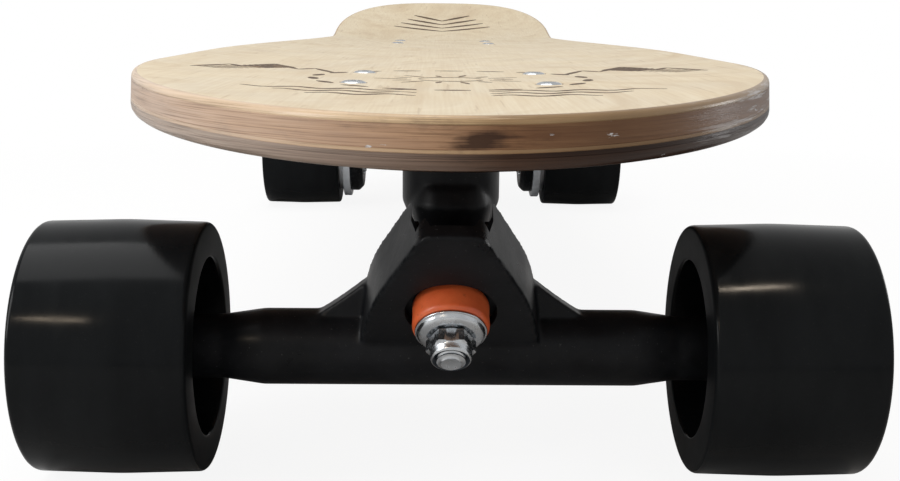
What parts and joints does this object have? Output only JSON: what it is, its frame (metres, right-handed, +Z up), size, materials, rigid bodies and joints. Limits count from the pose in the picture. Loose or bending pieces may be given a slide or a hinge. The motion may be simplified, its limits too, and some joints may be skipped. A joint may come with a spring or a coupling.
{
  "type": "electric skateboard",
  "caption": "Cruiser board with a wooden kicktail deck, sprung steering trucks, free front wheels, rear hub motors and an electronics tray under the deck.",
  "frame": {"origin": "on the ground, under the middle of the deck", "axes": "+X to the right wheel as seen from the nose, +Y from nose to tail, +Z up"},
  "size_m": [0.2948, 0.8919, 0.1699],
  "materials": {
    "maple": "varnished maple plies",
    "black_paint": "satin black paint on cast metal",
    "black_urethane": "glossy black urethane",
    "orange_bushing": "cast orange urethane",
    "zinc": "bright zinc plating",
    "motor_aluminium": "turned aluminium",
    "steel": "ground steel",
    "black_rubber": "matt rubber",
    "black_plastic": "fine moulded grain",
    "windings": "lacquered copper on a steel core",
    "battery_wrap": "blue shrink wrap"
  },
  "bodies": {
    "board": {"deck": "maple", "front_riser": "black_rubber", "rear_riser": "black_rubber", "front_truck_bolt_1": "zinc", "front_truck_bolt_2": "zinc", "front_truck_bolt_3": "zinc", "front_truck_bolt_4": "zinc", "rear_truck_bolt_1": "zinc", "rear_truck_bolt_2": "zinc", "rear_truck_bolt_3": "zinc", "rear_truck_bolt_4": "zinc", "tray_screw_1": "zinc", "tray_screw_2": "zinc", "tray_screw_3": "zinc", "tray_screw_4": "zinc", "front_baseplate": "black_paint", "front_kingpin": "zinc", "front_kingpin_nut": "zinc", "front_cup_washer": "zinc", "front_roadside_bushing": "orange_bushing", "front_boardside_bushing": "orange_bushing", "front_pivot_cup": "black_rubber", "rear_baseplate": "black_paint", "rear_kingpin": "zinc", "rear_kingpin_nut": "zinc", "rear_cup_washer": "zinc", "rear_roadside_bushing": "orange_bushing", "rear_boardside_bushing": "orange_bushing", "rear_pivot_cup": "black_rubber", "tray": "black_plastic", "battery_pack": "battery_wrap", "speed_controller": "motor_aluminium", "charge_port": "black_plastic"},
    "front_truck": {"front_hanger": "black_paint", "front_axle": "steel", "front_left_axle_nut": "zinc", "front_right_axle_nut": "zinc"},
    "rear_truck": {"rear_hanger": "black_paint", "rear_axle": "steel", "rear_left_motor_stator": "windings", "rear_right_motor_stator": "windings"},
    "button": {"power_button": "zinc"},
    "front_left_wheel": {"front_left_tire": "black_urethane", "front_left_wheel_core": "black_plastic", "front_left_inner_bearing": "steel", "front_left_outer_bearing": "steel"},
    "rear_left_wheel": {"rear_left_tire": "black_urethane", "rear_left_motor_can": "motor_aluminium", "rear_left_motor_cover": "black_paint", "rear_left_inner_bearing": "steel", "rear_left_outer_bearing": "steel"},
    "front_right_wheel": {"front_right_tire": "black_urethane", "front_right_wheel_core": "black_plastic", "front_right_inner_bearing": "steel", "front_right_outer_bearing": "steel"},
    "rear_right_wheel": {"rear_right_tire": "black_urethane", "rear_right_motor_can": "motor_aluminium", "rear_right_motor_cover": "black_paint", "rear_right_inner_bearing": "steel", "rear_right_outer_bearing": "steel"}
  },
  "joints": [
    {"name": "front_steer", "type": "hinge", "parent": "board", "child": "front_truck", "pos_m": [0, -0.3535, 0.0694], "axis": [0, -0.809, 0.5878], "range_deg": [-12, 12], "stiffness_Nm_per_rad": 40, "deforming": ["front_roadside_bushing", "front_boardside_bushing"]},
    {"name": "front_left_spin", "type": "hinge", "parent": "front_truck", "child": "front_left_wheel", "pos_m": [0, -0.334, 0.045], "axis": [1, 0, 0], "continuous": true},
    {"name": "front_right_spin", "type": "hinge", "parent": "front_truck", "child": "front_right_wheel", "pos_m": [0, -0.334, 0.045], "axis": [1, 0, 0], "continuous": true},
    {"name": "rear_steer", "type": "hinge", "parent": "board", "child": "rear_truck", "pos_m": [0, 0.2855, 0.0694], "axis": [0, 0.809, 0.5878], "range_deg": [-12, 12], "stiffness_Nm_per_rad": 40, "deforming": ["rear_roadside_bushing", "rear_boardside_bushing"]},
    {"name": "rear_left_spin", "type": "hinge", "parent": "rear_truck", "child": "rear_left_wheel", "pos_m": [0, 0.266, 0.045], "axis": [1, 0, 0], "continuous": true},
    {"name": "rear_right_spin", "type": "hinge", "parent": "rear_truck", "child": "rear_right_wheel", "pos_m": [0, 0.266, 0.045], "axis": [1, 0, 0], "continuous": true},
    {"name": "power_button_press", "type": "slide", "parent": "board", "child": "button", "axis": [-1, 0, 0], "range_m": [0, 0.0015], "stiffness_N_per_m": 500}
  ]
}
